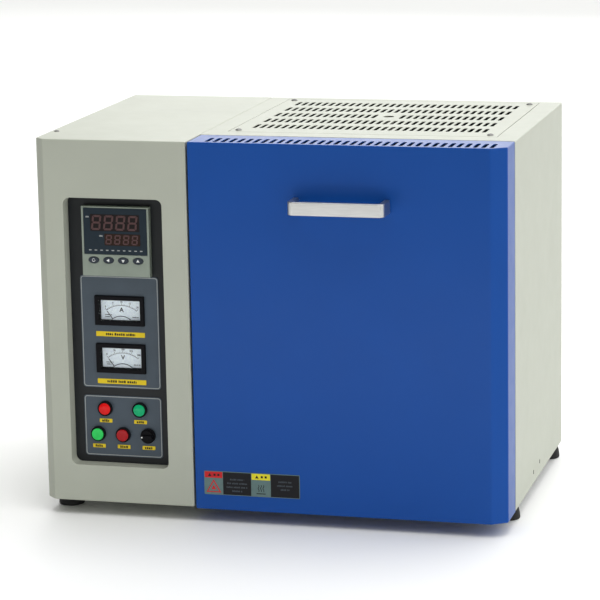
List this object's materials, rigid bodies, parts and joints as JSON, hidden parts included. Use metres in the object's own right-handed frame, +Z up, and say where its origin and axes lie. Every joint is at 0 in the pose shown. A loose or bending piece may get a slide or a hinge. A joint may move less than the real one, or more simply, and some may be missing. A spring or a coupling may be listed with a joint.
{
  "type": "bench-top chamber furnace",
  "caption": "Bench-top laboratory box furnace: insulated chamber behind a drop-down door, with a control cabinet at its left side.",
  "frame": {"origin": "centre of the footprint, on the surface that the feet stand on", "axes": "+X to the right as seen from the front, +Y towards the back, +Z up"},
  "size_m": [0.65, 0.504, 0.526],
  "materials": {
    "case_enamel": "satin grey-beige powder coat",
    "door_enamel": "satin blue powder coat",
    "zinc_steel": "zinc plated",
    "handle_aluminium": "satin anodised",
    "sink_aluminium": "extruded",
    "black_plate": "satin black",
    "black_plastic": "moulded",
    "overlay_grey": "printed film",
    "bezel_plastic": "moulded",
    "window_plastic": "tinted window",
    "key_plastic": "moulded",
    "dial_white": "printed dial",
    "needle_black": "black paint",
    "red_plastic": "translucent",
    "green_plastic": "translucent",
    "rubber": "moulded",
    "fibre_board": "vacuum formed ceramic fibre",
    "carbide": "silicon carbide, matt",
    "heater_wire": "oxidised resistance wire",
    "alumina": "fired"
  },
  "bodies": {
    "housing": {"cabinet_shell": "case_enamel", "cabinet_rear_cover": "case_enamel", "furnace_shell": "case_enamel", "top_grille": "case_enamel", "rear_panel": "case_enamel", "front_frame": "case_enamel", "base_pan": "zinc_steel", "support_frame": "zinc_steel", "hinge_arm_left": "zinc_steel", "hinge_arm_right": "zinc_steel", "power_module": "sink_aluminium", "instrument_plate": "black_plate", "ammeter_case": "black_plastic", "voltmeter_case": "black_plastic", "power_lamp_ring": "black_plastic", "heat_lamp_ring": "black_plastic", "start_button_ring": "black_plastic", "stop_button_ring": "black_plastic", "selector_ring": "black_plastic", "cable_gland": "black_plastic", "contactor": "black_plastic", "door_switch": "black_plastic", "meter_overlay": "overlay_grey", "switch_overlay": "overlay_grey", "controller_case": "bezel_plastic", "controller_window": "window_plastic", "ammeter_dial": "dial_white", "voltmeter_dial": "dial_white", "power_lamp_lens": "red_plastic", "heat_lamp_lens": "green_plastic", "foot_front_left": "rubber", "foot_front_right": "rubber", "foot_rear_left": "rubber", "foot_rear_right": "rubber", "insulation_collar": "fibre_board", "insulation_floor": "fibre_board", "insulation_roof": "fibre_board", "insulation_left": "fibre_board", "insulation_right": "fibre_board", "insulation_rear": "fibre_board", "hearth_plate": "carbide", "heating_element_left": "heater_wire", "heating_element_right": "heater_wire", "thermocouple": "alumina", "flue_tube": "alumina", "terminal_block": "alumina"},
    "door": {"door_shell": "door_enamel", "door_inner_plate": "zinc_steel", "door_insulation": "fibre_board", "door_handle": "handle_aluminium"},
    "start_button": {"start_button_cap": "green_plastic"},
    "stop_button": {"stop_button_cap": "red_plastic"},
    "set_key": {"key_set": "key_plastic"},
    "shift_key": {"key_shift": "key_plastic"},
    "down_key": {"key_down": "key_plastic"},
    "up_key": {"key_up": "key_plastic"},
    "selector": {"selector_knob": "black_plastic"},
    "ammeter_pointer": {"ammeter_needle": "needle_black"},
    "voltmeter_pointer": {"voltmeter_needle": "needle_black"},
    "plunger": {"switch_plunger": "red_plastic"}
  },
  "joints": [
    {"name": "door_hinge", "type": "hinge", "parent": "housing", "child": "door", "pos_m": [0.10765, -0.202, 0.034], "axis": [1, 0, 0], "range_deg": [0, 85]},
    {"name": "start_press", "type": "slide", "parent": "housing", "child": "start_button", "axis": [0, 1, 0], "range_m": [0, 0.002], "stiffness_N_per_m": 300},
    {"name": "stop_press", "type": "slide", "parent": "housing", "child": "stop_button", "axis": [0, 1, 0], "range_m": [0, 0.002], "stiffness_N_per_m": 300},
    {"name": "set_press", "type": "slide", "parent": "housing", "child": "set_key", "axis": [0, 1, 0], "range_m": [0, 0.0008], "stiffness_N_per_m": 500},
    {"name": "shift_press", "type": "slide", "parent": "housing", "child": "shift_key", "axis": [0, 1, 0], "range_m": [0, 0.0008], "stiffness_N_per_m": 500},
    {"name": "down_press", "type": "slide", "parent": "housing", "child": "down_key", "axis": [0, 1, 0], "range_m": [0, 0.0008], "stiffness_N_per_m": 500},
    {"name": "up_press", "type": "slide", "parent": "housing", "child": "up_key", "axis": [0, 1, 0], "range_m": [0, 0.0008], "stiffness_N_per_m": 500},
    {"name": "selector_turn", "type": "hinge", "parent": "housing", "child": "selector", "pos_m": [-0.1791, -0.2, 0.1127], "axis": [0, 1, 0], "range_deg": [0, 90]},
    {"name": "ammeter_swing", "type": "hinge", "parent": "housing", "child": "ammeter_pointer", "pos_m": [-0.2151, -0.188, 0.25745], "axis": [0, 1, 0], "range_deg": [0, 74], "stiffness_Nm_per_rad": 0.001},
    {"name": "voltmeter_swing", "type": "hinge", "parent": "housing", "child": "voltmeter_pointer", "pos_m": [-0.2151, -0.188, 0.19045], "axis": [0, 1, 0], "range_deg": [0, 74], "stiffness_Nm_per_rad": 0.001},
    {"name": "plunger_slide", "type": "slide", "parent": "housing", "child": "plunger", "axis": [0, -1, 0], "range_m": [0, 0.004]}
  ],
  "couplings": [
    {"joint": "plunger_slide", "follows": "door_hinge", "m_per_rad": 0.0026}
  ]
}
